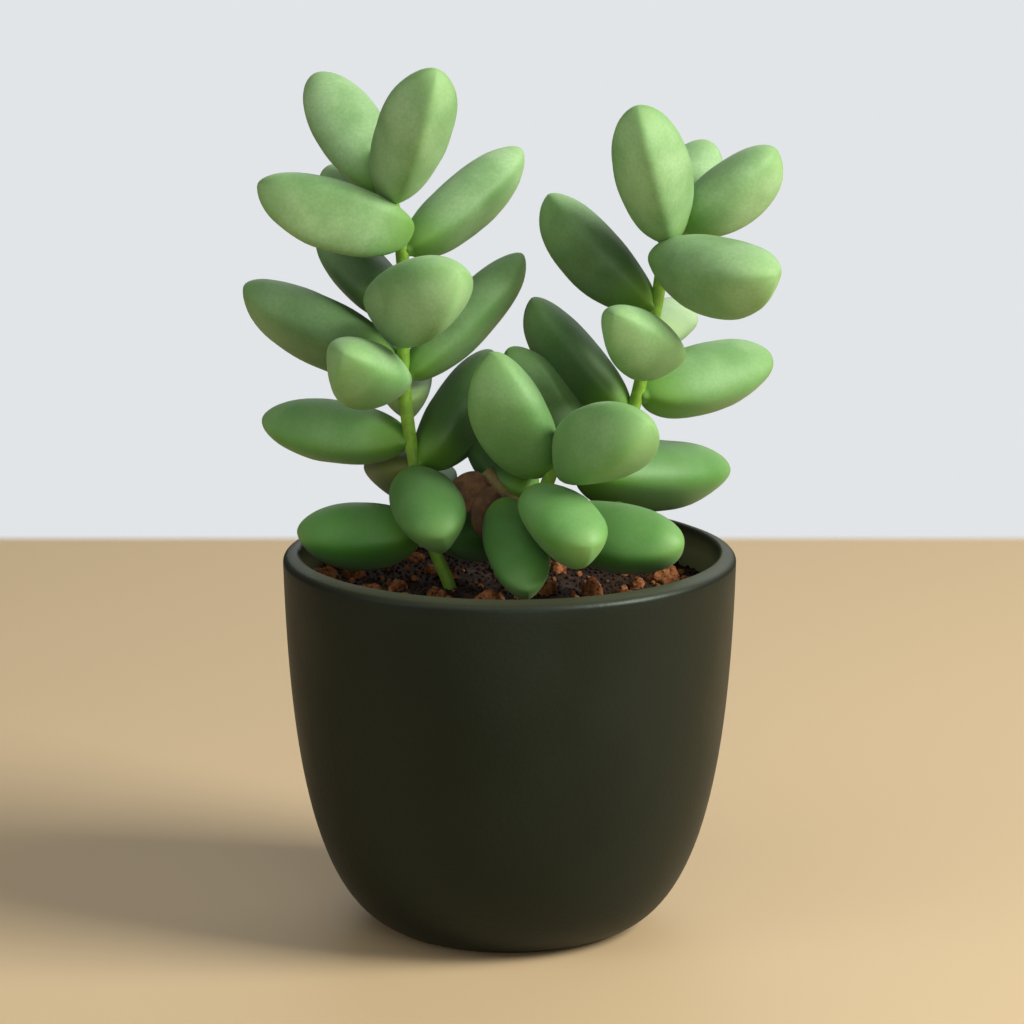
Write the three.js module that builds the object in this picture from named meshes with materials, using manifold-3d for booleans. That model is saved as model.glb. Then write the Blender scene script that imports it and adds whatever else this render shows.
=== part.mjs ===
// Ice plant: a young succulent with three leafy shoots, growing in a plain round pot.
// Millimetres, +Z up. The origin is the centre of the pot's flat foot, on the surface it stands on.
import * as THREE from 'three';
import { mergeVertices } from 'three/addons/utils/BufferGeometryUtils.js';
import Module from 'manifold-3d';

const wasm = await Module();
wasm.setup();

// ---- Driving dimensions ----

const clearance = 0.3; // left between pieces that touch

// Pot
const rimRadius = 50; // outside, at the widest point just under the lip
const potHeight = 85;
const footRadius = 25.5; // the flat ring that the pot stands on
const potWall = 3.8;
const potFloor = 5;
const lipFall = 0.7; // how far the top of the lip slopes down towards the outside
const lipRound = 1.6; // radius of the lip's outer edge
const bellyDrop = 42; // from the rim down to where the side begins to turn in
const bellyInset = 5.5; // how far in the lower side has come when it turns under
const shoulderInset = 1; // how far in the side is above the belly

// Soil
const soilDrop = 9; // from the top of the lip down to the soil at the wall
const soilCrown = 1.2; // how much higher the soil is in the middle
const stemDepth = 14; // how deep each stem goes into the soil

// Plant
const stemRadius = 1.45;
const leafLength = 32; // of a leaf of size 1
const leafWidth = 15.5; // across the margins, of a leaf of girth 1
const leafDepth = 14.5; // from the upper face to the keel, of a leaf of girth 1
const upperShare = 0.34; // the share of the depth that is above the margins
const widestStation = 0.5; // where a leaf is widest, as a share of its length
const budLength = 7; // the newest pair of leaves, still closed, at a shoot's tip
const budWidth = 3.6;
const twigRadius = 1.3; // the withered side twig
const dryLeafLength = 9;
const dryLeafWidth = 6;
const dryLeafThickness = 1.6;

// Facets
const potSides = 40;
const stemSides = 8;
const stemSteps = 20;
const twigSteps = 6;
const leafStations = [0, 0.07, 0.2, 0.38, 0.58, 0.77, 0.92]; // rings along a leaf, as shares of its length
const budStations = [0, 0.2, 0.5, 0.8];

// ---- Shared values that follow from them ----

const soilLevel = potHeight - soilDrop;
const innerRim = rimRadius - potWall;
const rad = THREE.MathUtils.degToRad;

const kinds = {
  leaf: { length: leafLength, width: leafWidth, depth: leafDepth, stations: leafStations, finish: 'leaf' },
  bud: { length: budLength, width: budWidth, depth: budWidth, stations: budStations, finish: 'leaf' },
  dry: {
    length: dryLeafLength,
    width: dryLeafWidth,
    depth: dryLeafThickness,
    stations: budStations,
    finish: 'dry_leaf',
  },
};

const finishes = {
  pot: { color: 0x2b2b26, roughness: 0.6 },
  soil: { color: 0x6b3a28, roughness: 1 },
  stem: { color: 0x7f9a3f, roughness: 0.6 },
  leaf: { color: 0x7fae69, roughness: 0.55 },
  old_leaf: { color: 0x6c7350, roughness: 0.7 },
  dry_leaf: { color: 0x8a5a40, roughness: 0.9 },
};

// ---- Shoots ----
// A path lists x, y and the height above the soil. A leaf is given by its height on the stem, its turn
// anticlockwise from +X seen from above, its rise above level, its roll, and its size and girth.
// Where a leaf clasps the stem from one side, side is how far its base sits across the stem, and start
// is where the leaf begins along its own length, measured from the stem's centre line.

const shoots = [
  {
    name: 'left',
    path: [[-12.7, -3, 0], [-17, -3, 10.5], [-20.8, -2, 28.5], [-22.9, -1, 43], [-23.3, 0, 54],
      [-23, 0, 66], [-23.8, 0, 79], [-26, 0, 88]],
    leaves: [
      { at: 89, turn: 130, rise: 42, roll: -5, size: 1.04, girth: 1.02 },
      { at: 87, turn: -61, rise: 54, roll: -42, size: 1.14, girth: 1.05, side: -1 },
      { at: 81, turn: -166, rise: 19, roll: 28, size: 1.12, girth: 1.08, side: 5.5, start: -2 },
      { at: 75.5, turn: 38, rise: 31, roll: 4, size: 1.14, girth: 0.93 },
      { at: 78.5, turn: 124, rise: 22, size: 0.93, girth: 0.85 },
      { at: 62, turn: 127, rise: 25, roll: -7, size: 1.0, girth: 0.88 },
      { at: 62.5, turn: -53, rise: 24, roll: -16, size: 0.98, girth: 1.26, side: -7, start: 1 },
      { at: 50.5, turn: 159, rise: 22, roll: -13, size: 1.22, girth: 1.07 },
      { at: 47.5, turn: 32, rise: 39, roll: 11, size: 1.18, girth: 0.84 },
      { at: 47, turn: -112, rise: 20, roll: -27, size: 0.92, girth: 1.06, side: -0.5, start: 3.5 },
      { at: 34, turn: 156, rise: 3, roll: -29, size: 1.08, girth: 0.99 },
      { at: 42, turn: 91, rise: 6, size: 0.86, girth: 0.76, finish: 'old_leaf' },
      { at: 28, turn: -72, rise: -21, roll: 5, size: 0.82, girth: 1.0, side: -1.5 },
      { at: 27.5, turn: 41, rise: 47, roll: -10, size: 0.96, girth: 1.03 },
      { at: 28, turn: 108, rise: -10, size: 0.84, girth: 0.82, finish: 'old_leaf' },
      { at: 19, turn: 80, rise: 8, size: 0.68, girth: 0.6, start: 3.5 },
      { at: 14.3, turn: 172, rise: -3, roll: -20, size: 0.86, girth: 1.06 },
      { at: 87.9, turn: 150, rise: 84, kind: 'bud', start: 4 },
    ],
  },
  {
    name: 'right',
    path: [[25.5, 15, 0], [25.5, 9.5, 12], [23, 5, 23.5], [28.3, 4, 43.5], [32.5, 4, 65], [34.4, 4, 80]],
    leaves: [
      { at: 77, turn: -116, rise: 61, roll: 40, size: 1.09, girth: 1.08, side: 1.2 },
      { at: 77, turn: 68, rise: 36, size: 0.94, girth: 0.9 },
      { at: 79.3, turn: 0, rise: 37, roll: 4, size: 0.84, girth: 1.02, start: 3 },
      { at: 74.5, turn: -45, rise: -1, roll: 9, size: 1.09, girth: 1.23, side: -4, start: 1.2 },
      { at: 62, turn: 161, rise: 44, roll: 11, size: 1.03, girth: 1.0 },
      { at: 53, turn: -120, rise: 27, roll: -3, size: 0.94, girth: 0.99, side: 7, start: 0.6 },
      { at: 56, turn: 74, rise: 3, roll: 12, size: 0.91, girth: 0.75 },
      { at: 38, turn: 153, rise: 45, roll: 8, size: 1.03, girth: 0.93 },
      { at: 43, turn: 33, rise: 8, roll: 17, size: 1.08, girth: 1.12 },
      { at: 25.4, turn: 38, rise: -7, roll: 5, size: 1.34, girth: 1.16, side: 2.5, start: -8 },
      { at: 22, turn: 180, rise: 53, roll: -4, size: 1.2, girth: 0.98, start: 0.5 },
      { at: 79.9, turn: 40, rise: 80, kind: 'bud', start: 3.5 },
    ],
  },
  {
    name: 'middle',
    path: [[4, -2, 0], [4.5, -7, 12], [5.8, -11.5, 21], [8.4, -14.5, 27.5], [10, -14.5, 32.5]],
    leaves: [
      { at: 27, turn: -147, rise: 62, roll: 32, size: 0.99, girth: 1.15, side: -4.4, start: 0 },
      { at: 33.2, turn: -54, rise: 22, roll: -30, size: 1.0, girth: 1.19, side: 1 },
      { at: 26.5, turn: -65, rise: -13, roll: 15, size: 0.91, girth: 1.03, side: -5, start: 4 },
      { at: 20, turn: -79, rise: -26, roll: 9, size: 0.98, girth: 0.87, side: -6.5, start: -3.5 },
      { at: 17.6, turn: -22, rise: -4, roll: 6, size: 1.04, girth: 1.1 },
      { at: 22, turn: 122, rise: 24, size: 0.78, girth: 0.8, start: 4 },
      { at: 18, turn: 138, rise: -12, roll: -4, size: 0.92, girth: 1.0, start: 2.6 },
    ],
  },
];

// A side twig of the middle shoot that has withered, with its last dry leaves.
const twig = {
  name: 'withered',
  path: [[3.4, -10.5, 20.5], [0.5, -8.5, 22.5], [-2.5, -7, 25], [-5, -6, 28]],
  leaves: [
    { at: 27.4, turn: 205, rise: -40, roll: 75, kind: 'dry', size: 1.0 },
    { at: 25.5, turn: 240, rise: -66, roll: 60, kind: 'dry', size: 1.2 },
  ],
};

// ---- Solids and booleans ----

function toSolid(geometry) {
  const bare = geometry.clone();
  bare.deleteAttribute('normal');
  bare.deleteAttribute('uv');
  const merged = mergeVertices(bare);
  return new wasm.Manifold(new wasm.Mesh({
    numProp: 3,
    vertProperties: merged.attributes.position.array,
    triVerts: new Uint32Array(merged.index.array),
  }));
}

function toGeometry(solid) {
  const mesh = solid.getMesh();
  const geometry = new THREE.BufferGeometry();
  geometry.setAttribute('position', new THREE.BufferAttribute(mesh.vertProperties, 3));
  geometry.setIndex(new THREE.BufferAttribute(mesh.triVerts, 1));
  geometry.computeVertexNormals();
  return geometry;
}

function overlaps(solid, other) {
  return solid.intersect(other).volume() > 1e-6;
}

function makeMesh(name, geometry, finish) {
  const material = new THREE.MeshStandardMaterial({ ...finishes[finish], metalness: 0 });
  const mesh = new THREE.Mesh(geometry, material);
  mesh.name = name;
  return mesh;
}

// ---- Pot and soil ----

// The side of the pot as one curve from the foot to under the lip, moved inwards and upwards by a wall.
function sideCurve(inset, raise) {
  return new THREE.CubicBezierCurve(
    new THREE.Vector2(footRadius - inset / 2, raise),
    new THREE.Vector2(rimRadius - bellyInset - inset, raise + potFloor),
    new THREE.Vector2(rimRadius - shoulderInset - inset, potHeight - bellyDrop),
    new THREE.Vector2(rimRadius - inset, potHeight - lipFall - lipRound),
  );
}

// The lip's rounded outer edge, from the side of the pot to its sloping top.
function lipEdge() {
  const centre = new THREE.Vector2(rimRadius - lipRound, potHeight - lipFall - lipRound);
  return [30, 60, 90].map((angle) => new THREE.Vector2(
    centre.x + lipRound * Math.cos(rad(angle)),
    centre.y + lipRound * Math.sin(rad(angle)),
  ));
}

function makePot() {
  const outside = sideCurve(0, 0).getPoints(10);
  const inside = sideCurve(potWall, potFloor).getPoints(8).reverse();
  const profile = [
    new THREE.Vector2(0, 0),
    ...outside,
    ...lipEdge(),
    new THREE.Vector2(innerRim, potHeight),
    ...inside,
    new THREE.Vector2(0, potFloor),
  ];
  const geometry = new THREE.LatheGeometry(profile, potSides);
  geometry.rotateX(Math.PI / 2);
  return makeMesh('pot', geometry, 'pot');
}

function makeSoil(stemSolids) {
  const side = sideCurve(potWall + clearance, potFloor + clearance).getPoints(8)
    .filter((point) => point.y < soilLevel);
  const soilRadius = side.at(-1).x;
  const top = [1, 0.75, 0.4, 0].map((share) => new THREE.Vector2(
    soilRadius * share,
    soilLevel + soilCrown * (1 - share * share),
  ));
  const profile = [new THREE.Vector2(0, potFloor + clearance), ...side, ...top];
  const geometry = new THREE.LatheGeometry(profile, potSides);
  geometry.rotateX(Math.PI / 2);
  const solid = stemSolids.reduce((soil, stem) => soil.subtract(stem), toSolid(geometry));
  return makeMesh('soil', toGeometry(solid), 'soil');
}

// ---- Stems ----

function stemPoints(path) {
  return path.map(([x, y, height]) => new THREE.Vector3(x, y, soilLevel + height));
}

// A rooted stem goes straight down into the soil from where it leaves it.
function rootedCurve(path) {
  const points = stemPoints(path);
  const foot = points[0].clone();
  foot.z -= stemDepth;
  return new THREE.CatmullRomCurve3([foot, ...points]);
}

function roundSection(radius) {
  return new THREE.Shape(Array.from({ length: stemSides }, (_, side) => {
    const angle = (2 * Math.PI * side) / stemSides;
    return new THREE.Vector2(radius * Math.cos(angle), radius * Math.sin(angle));
  }));
}

function tube(curve, radius, steps) {
  return new THREE.ExtrudeGeometry(roundSection(radius), { extrudePath: curve, steps, bevelEnabled: false });
}

// The place and direction of a stem at a height above the soil.
function stemAt(curve, height) {
  let low = 0;
  let high = 1;
  for (let step = 0; step < 30; step += 1) {
    const middle = (low + high) / 2;
    if (curve.getPoint(middle).z < soilLevel + height) low = middle;
    else high = middle;
  }
  return { point: curve.getPoint(low), along: curve.getTangent(low) };
}

// ---- Leaves ----

// How wide a leaf is at a station, as a share of its full width: blunt at the tip, narrow at the base.
function fullness(station) {
  const reach = (station - widestStation) / (station < widestStation ? widestStation : 1 - widestStation);
  return reach < 0 ? Math.sqrt(1 - (0.95 * reach) ** 2) : (1 - reach ** 2.2) ** 0.75;
}

// A leaf's section: a gently domed upper face and a rounded keel below, meeting at soft margins.
const sectionAngles = [0, 45, 90, 135, 180, 212, 242, 270, 298, 328];

function sectionPoint(angle, halfWidth, depth) {
  const upper = angle <= 180;
  const power = upper ? 0.8 : 1.18;
  const height = depth * (upper ? upperShare : 1 - upperShare);
  const across = Math.cos(rad(angle));
  const up = Math.sin(rad(angle));
  return [
    halfWidth * Math.sign(across) * Math.abs(across) ** power,
    height * Math.sign(up) * Math.abs(up) ** power,
  ];
}

// A closed leaf along +X with its base at the origin, its upper face to +Z and its keel to -Z.
function leafGeometry(length, width, depth, stations) {
  const positions = [];
  stations.forEach((station) => {
    const share = fullness(station);
    sectionAngles.forEach((angle) => {
      positions.push(station * length, ...sectionPoint(angle, share * width / 2, share * depth));
    });
  });
  const count = sectionAngles.length;
  const base = stations.length * count;
  const tip = base + 1;
  positions.push(0, 0, 0, length, 0, 0);
  const faces = [];
  for (let side = 0; side < count; side += 1) {
    const next = (side + 1) % count;
    faces.push(base, next, side);
    for (let ring = 0; ring < stations.length - 1; ring += 1) {
      const low = ring * count;
      const high = low + count;
      faces.push(low + side, low + next, high + next, low + side, high + next, high + side);
    }
    faces.push(base - count + side, base - count + next, tip);
  }
  const geometry = new THREE.BufferGeometry();
  geometry.setAttribute('position', new THREE.Float32BufferAttribute(positions, 3));
  geometry.setIndex(faces);
  geometry.computeVertexNormals();
  return geometry;
}

// The frame of a leaf: X along it, Z to its upper face, which looks towards the top of its stem.
function leafFrame(stem, leaf, rise) {
  const along = new THREE.Vector3(
    Math.cos(rad(rise)) * Math.cos(rad(leaf.turn)),
    Math.cos(rad(rise)) * Math.sin(rad(leaf.turn)),
    Math.sin(rad(rise)),
  );
  const across = new THREE.Vector3().crossVectors(stem.along, along).normalize();
  const upper = new THREE.Vector3().crossVectors(along, across);
  const root = stem.point.clone()
    .addScaledVector(along, leaf.start ?? stemRadius + clearance)
    .addScaledVector(across, leaf.side ?? 0);
  return new THREE.Matrix4().makeRotationAxis(along, rad(leaf.roll ?? 0))
    .multiply(new THREE.Matrix4().makeBasis(along, across, upper))
    .setPosition(root);
}

// A leaf is lifted until it clears the lip of the pot.
const rimGuard = toSolid(new THREE.LatheGeometry([
  new THREE.Vector2(innerRim - clearance, 0),
  new THREE.Vector2(rimRadius + clearance, 0),
  new THREE.Vector2(rimRadius + clearance, potHeight + clearance),
  new THREE.Vector2(innerRim - clearance, potHeight + clearance),
  new THREE.Vector2(innerRim - clearance, 0),
], potSides).rotateX(Math.PI / 2));

// The space a leaf keeps to itself: the leaf with a clearance all round.
function leafGuard(length, width, depth, stations, frame) {
  const more = 2 * clearance;
  const geometry = leafGeometry(length + more, width + more, depth + more, stations);
  geometry.translate(-clearance, 0, 0);
  return toSolid(geometry).transform(frame.elements);
}

// Where a leaf presses on its stem or on a leaf that is already there, it is cut back to a clearance.
function placeLeaf(curve, guards, leaf) {
  const stem = stemAt(curve, leaf.at);
  const kind = kinds[leaf.kind ?? 'leaf'];
  const length = kind.length * (leaf.size ?? 1);
  const width = kind.width * (leaf.girth ?? 1);
  const depth = kind.depth * (leaf.girth ?? 1);
  const geometry = leafGeometry(length, width, depth, kind.stations);
  const solid = toSolid(geometry);
  let rise = leaf.rise;
  let frame = leafFrame(stem, leaf, rise);
  while (overlaps(solid.transform(frame.elements), rimGuard)) {
    rise += 1;
    frame = leafFrame(stem, leaf, rise);
  }
  const placed = solid.transform(frame.elements);
  const pressing = guards.filter((guard) => overlaps(placed, guard));
  guards.push(leafGuard(length, width, depth, kind.stations, frame));
  if (pressing.length === 0) return { geometry, frame };
  const toLeaf = frame.clone().invert();
  const cut = pressing.reduce((leafSolid, guard) => (
    leafSolid.subtract(guard.transform(toLeaf.elements))
  ), solid);
  return { geometry: toGeometry(cut), frame };
}

// ---- Assembly ----

const icePlant = new THREE.Group();

function addPlaced(name, geometry, frame, finish) {
  const mesh = makeMesh(name, geometry, finish);
  frame.decompose(mesh.position, mesh.quaternion, mesh.scale);
  icePlant.add(mesh);
}

icePlant.add(makePot());

const curves = shoots.map((shoot) => rootedCurve(shoot.path));
const twigCurve = new THREE.CatmullRomCurve3(stemPoints(twig.path));
const guards = curves.map((curve) => toSolid(tube(curve, stemRadius + clearance, stemSteps)));
icePlant.add(makeSoil(guards));
guards.push(toSolid(tube(twigCurve, twigRadius + clearance, twigSteps)));

function addLeaves(shoot, curve) {
  const counts = { leaf: 0, bud: 0, dry: 0 };
  shoot.leaves.forEach((leaf) => {
    const kind = leaf.kind ?? 'leaf';
    counts[kind] += 1;
    const { geometry, frame } = placeLeaf(curve, guards, leaf);
    const name = `${shoot.name}_${kind}_${String(counts[kind]).padStart(2, '0')}`;
    addPlaced(name, geometry, frame, leaf.finish ?? kinds[kind].finish);
  });
}

shoots.forEach((shoot, index) => {
  icePlant.add(makeMesh(`${shoot.name}_stem`, tube(curves[index], stemRadius, stemSteps), 'stem'));
  addLeaves(shoot, curves[index]);
});
icePlant.add(makeMesh('withered_twig', tube(twigCurve, twigRadius, twigSteps), 'dry_leaf'));
addLeaves(twig, twigCurve);

export default icePlant;
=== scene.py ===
# %% [markdown]
# # A potted ice plant, dressed in Blender
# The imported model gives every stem, leaf and the pot as a plain solid in its right place. This
# lesson replaces each of them with a finished form in the same place, gives it a material made of
# nodes, and sets the light and the camera. Everything is in metres, with the pot's foot at the
# origin.

# %% Load the plain model
import math

import bmesh
import bpy
import numpy as np
from mathutils import Matrix, Vector, noise


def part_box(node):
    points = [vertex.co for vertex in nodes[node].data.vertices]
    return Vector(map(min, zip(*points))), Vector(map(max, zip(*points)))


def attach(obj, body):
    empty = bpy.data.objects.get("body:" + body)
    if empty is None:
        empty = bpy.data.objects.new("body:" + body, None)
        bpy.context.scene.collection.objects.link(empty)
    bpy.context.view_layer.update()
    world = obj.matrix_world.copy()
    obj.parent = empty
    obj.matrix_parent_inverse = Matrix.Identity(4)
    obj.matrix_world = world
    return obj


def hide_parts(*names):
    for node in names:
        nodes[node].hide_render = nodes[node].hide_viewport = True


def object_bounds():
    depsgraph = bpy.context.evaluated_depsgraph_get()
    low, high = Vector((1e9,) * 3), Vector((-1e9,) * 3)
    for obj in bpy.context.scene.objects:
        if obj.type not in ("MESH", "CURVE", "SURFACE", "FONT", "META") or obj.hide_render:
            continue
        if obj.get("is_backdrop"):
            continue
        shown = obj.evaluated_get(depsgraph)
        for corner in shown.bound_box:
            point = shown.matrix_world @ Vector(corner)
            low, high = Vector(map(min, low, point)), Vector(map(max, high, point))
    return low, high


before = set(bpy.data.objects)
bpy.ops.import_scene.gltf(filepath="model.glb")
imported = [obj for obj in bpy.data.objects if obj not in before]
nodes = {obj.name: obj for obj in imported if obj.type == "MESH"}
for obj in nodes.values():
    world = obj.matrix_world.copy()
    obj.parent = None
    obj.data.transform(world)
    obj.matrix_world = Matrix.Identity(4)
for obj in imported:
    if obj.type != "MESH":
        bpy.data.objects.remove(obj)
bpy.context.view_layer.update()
MM = 0.001
soil_level = 76 * MM

# %% [markdown]
# ## Helpers for meshes
# A finished piece is one mesh at the origin that rides on the only body, root. A closed ring of
# points swept along a path makes most of this plant, so one helper turns rings into a skin with
# its two ends closed by a fan. The same helper carries a value for each point, such as how far
# along the leaf it is, so that a material can follow the leaf and not the room.

# %% Skin a row of rings
def skin(name, rings, start, end, marks=None):
    """A closed mesh from rings of equal length, with a fan to a point at each end."""
    count = len(rings[0])
    points = [tuple(p) for ring in rings for p in ring] + [tuple(start), tuple(end)]
    first, last = len(points) - 2, len(points) - 1
    tail = (len(rings) - 1) * count
    faces = grid_faces(len(rings), count)
    for k in range(count):
        n = (k + 1) % count
        faces.append((first, n, k))
        faces.append((last, tail + k, tail + n))
    mesh = bpy.data.meshes.new(name)
    mesh.from_pydata(points, [], faces)
    for key, values in (marks or {}).items():
        attribute = mesh.attributes.new(key, "FLOAT", "POINT")
        attribute.data.foreach_set("value", np.array(values, "f"))
    return face_outwards(mesh)


def grid_faces(rows, count):
    """The four-sided faces between rings of `count` points each."""
    return [(r * count + k, r * count + (k + 1) % count,
             (r + 1) * count + (k + 1) % count, (r + 1) * count + k)
            for r in range(rows - 1) for k in range(count)]


def shade_smooth(mesh):
    mesh.polygons.foreach_set("use_smooth", [True] * len(mesh.polygons))


def face_outwards(mesh):
    """Turns every face of a closed mesh outwards and shades it smooth."""
    bm = bmesh.new()
    bm.from_mesh(mesh)
    bmesh.ops.recalc_face_normals(bm, faces=bm.faces)
    if bm.calc_volume(signed=True) < 0:
        bmesh.ops.reverse_faces(bm, faces=bm.faces)
    bm.to_mesh(mesh)
    bm.free()
    shade_smooth(mesh)
    return mesh


def finish_piece(mesh, material, slot, *replaced):
    """Puts a finished mesh in the scene in place of the plain nodes it stands for."""
    piece = bpy.data.objects.new(mesh.name, mesh)
    bpy.context.collection.objects.link(piece)
    mesh.materials.clear()
    mesh.materials.append(material)
    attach(piece, "root")
    if replaced:
        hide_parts(*replaced)


# %% [markdown]
# ## Helpers for materials
# Every material is one Principled shader with nodes in front of it. Two effects come back in
# several materials, so each is a node group with named inputs: **waxy bloom**, the pale powder on
# a succulent's skin, and **grain**, the fine unevenness of clay, bark and earth.

# %% Small helpers for node trees
def colour(red, green, blue):
    """A colour from 0-255 screen values, as the linear values that shaders use."""
    def linear(v):
        v /= 255
        return v / 12.92 if v <= 0.04045 else ((v + 0.055) / 1.055) ** 2.4
    return (linear(red), linear(green), linear(blue), 1)


def set_input(tree, socket, value):
    """Links an input to a socket, or sets it to a plain value."""
    if isinstance(value, bpy.types.NodeSocket):
        tree.links.new(value, socket)
    else:
        socket.default_value = value


def node(tree, kind, **settings):
    """A node with its inputs set by name or number, and its properties from the other settings."""
    made = tree.nodes.new(kind)
    inputs = settings.pop("inputs", {})
    for key, value in settings.items():
        setattr(made, key, value)
    for key, value in inputs.items():
        set_input(tree, made.inputs[key], value)
    return made


def mix(tree, factor, one, two):
    """A colour between two colours. The colour sockets of a Mix node are 6 and 7, and 2 outside."""
    made = node(tree, "ShaderNodeMix", data_type="RGBA", clamp_factor=True,
                inputs={0: factor, 6: one, 7: two})
    return made.outputs[2]


def sums(tree, operation, one, two=0.0, three=0.0, clamp=False):
    """One step of arithmetic on values."""
    made = node(tree, "ShaderNodeMath", operation=operation, use_clamp=clamp,
                inputs={0: one, 1: two, 2: three})
    return made.outputs[0]


def spread(tree, value, low, high, to_low=0.0, to_high=1.0):
    """Stretches a value from one range to another, with soft ends."""
    made = node(tree, "ShaderNodeMapRange", interpolation_type="SMOOTHSTEP",
                inputs={"Value": value, "From Min": low, "From Max": high,
                        "To Min": to_low, "To Max": to_high})
    return made.outputs["Result"]


def attribute_value(tree, name):
    """A value that each point of the mesh carries."""
    return node(tree, "ShaderNodeAttribute", attribute_name=name).outputs["Fac"]


def own_place(tree):
    """The place of the shaded point in the piece's own axes."""
    return node(tree, "ShaderNodeTexCoord").outputs["Object"]


def own_height(tree):
    """The height of the shaded point above the table."""
    return node(tree, "ShaderNodeSeparateXYZ", inputs={"Vector": own_place(tree)}).outputs["Z"]


def new_group(name, inputs, outputs):
    """A shader node group with its named inputs and outputs, ready to be filled."""
    group = bpy.data.node_groups.new(name, "ShaderNodeTree")
    for title, kind, default in inputs:
        socket = group.interface.new_socket(title, in_out="INPUT", socket_type=kind)
        socket.default_value = default
    for title, kind in outputs:
        group.interface.new_socket(title, in_out="OUTPUT", socket_type=kind)
    return group, node(group, "NodeGroupInput"), node(group, "NodeGroupOutput")


def new_material(name, **shader_inputs):
    """A material, its tree and its Principled shader with the given inputs set."""
    material = bpy.data.materials.new(name)
    material.use_nodes = True
    shader = material.node_tree.nodes["Principled BSDF"]
    for key, value in shader_inputs.items():
        shader.inputs[key.replace("_", " ")].default_value = value
    return material, material.node_tree, shader


def place_group(tree, group, **inputs):
    return node(tree, "ShaderNodeGroup", node_tree=group,
                inputs={key.replace("_", " "): value for key, value in inputs.items()})


def bump(tree, shader, height, strength, distance):
    """Lets a height tilt the surface that the light sees."""
    made = node(tree, "ShaderNodeBump",
                inputs={"Height": height, "Strength": strength, "Distance": distance})
    tree.links.new(made.outputs["Normal"], shader.inputs["Normal"])


# %% [markdown]
# ### The bloom
# A succulent's skin is a deep green under a thin pale wax. The wax is thicker in soft patches
# about a centimetre across, and rubbed thin in others, so the mask is a large soft noise times a
# very fine one.

# %% The waxy bloom group
patch_scale, powder_scale = 90.0, 1400.0
bloom_group, bloom_in, bloom_out = new_group(
    "waxy bloom",
    [("Skin", "NodeSocketColor", colour(80, 122, 60)),
     ("Wax", "NodeSocketColor", colour(150, 185, 130)),
     ("Amount", "NodeSocketFloat", 0.5),
     ("Patch Scale", "NodeSocketFloat", patch_scale)],
    [("Color", "NodeSocketColor"), ("Mask", "NodeSocketFloat"), ("Height", "NodeSocketFloat")])
where = own_place(bloom_group)
patches = node(bloom_group, "ShaderNodeTexNoise", noise_dimensions="3D", inputs={
    "Vector": where, "Scale": bloom_in.outputs["Patch Scale"], "Detail": 3.0, "Roughness": 0.5})
powder = node(bloom_group, "ShaderNodeTexNoise", noise_dimensions="3D", inputs={
    "Vector": where, "Scale": powder_scale, "Detail": 2.0, "Roughness": 0.6})
soft = spread(bloom_group, patches.outputs["Fac"], 0.3, 0.7, 0.72, 1.2)
fine = spread(bloom_group, powder.outputs["Fac"], 0.3, 0.7, 0.9, 1.1)
mask = sums(bloom_group, "MULTIPLY", sums(bloom_group, "MULTIPLY", soft, fine),
            bloom_in.outputs["Amount"], clamp=True)
bloomed = mix(bloom_group, mask, bloom_in.outputs["Skin"], bloom_in.outputs["Wax"])
bloom_group.links.new(mask, bloom_out.inputs["Mask"])
bloom_group.links.new(bloomed, bloom_out.inputs["Color"])
bloom_group.links.new(powder.outputs["Fac"], bloom_out.inputs["Height"])

# %% The grain group
speck_finer = 1.7
grain_group, grain_in, grain_out = new_group(
    "grain",
    [("Scale", "NodeSocketFloat", 400.0), ("Coarse", "NodeSocketFloat", 0.5)],
    [("Value", "NodeSocketFloat"), ("Speck", "NodeSocketFloat")])
where = own_place(grain_group)
broad = node(grain_group, "ShaderNodeTexNoise", inputs={
    "Vector": where, "Scale": grain_in.outputs["Scale"], "Detail": 5.0,
    "Roughness": grain_in.outputs["Coarse"]})
cells = node(grain_group, "ShaderNodeTexVoronoi", inputs={
    "Vector": where,
    "Scale": sums(grain_group, "MULTIPLY", grain_in.outputs["Scale"], speck_finer)})
specks = spread(grain_group, cells.outputs["Distance"], 0.28, 0.05)
grain_group.links.new(broad.outputs["Fac"], grain_out.inputs["Value"])
grain_group.links.new(specks, grain_out.inputs["Speck"])
print("node groups:", bloom_group.name, "and", grain_group.name)

# %% [markdown]
# ### The leaf skins
# A leaf is yellower where it leaves the stem and a little paler at its tip. Both follow the value
# **along** that each leaf's mesh carries, from 0 at the base to 1 at the tip. **ridge** is 1 on the
# keel and on the margins, where the wax is rubbed off first. The leaves at the top of a shoot are
# the youngest and have the most wax. **age_and_shade** runs from 0 on a pale, powdery leaf to 1 on
# a deep green one. It is partly wax lost with age and partly painted shade on leaves that sit in
# the shadow of others, and it is weaker at the tip.

# %% Make a leaf material
wax_reach = 90 * MM
wax_at_soil, wax_at_top = 0.22, 1.35
rubbed_on_ridge, lost_with_age_and_shade, wax_when_new = -0.25, -0.9, 1.25


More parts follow.
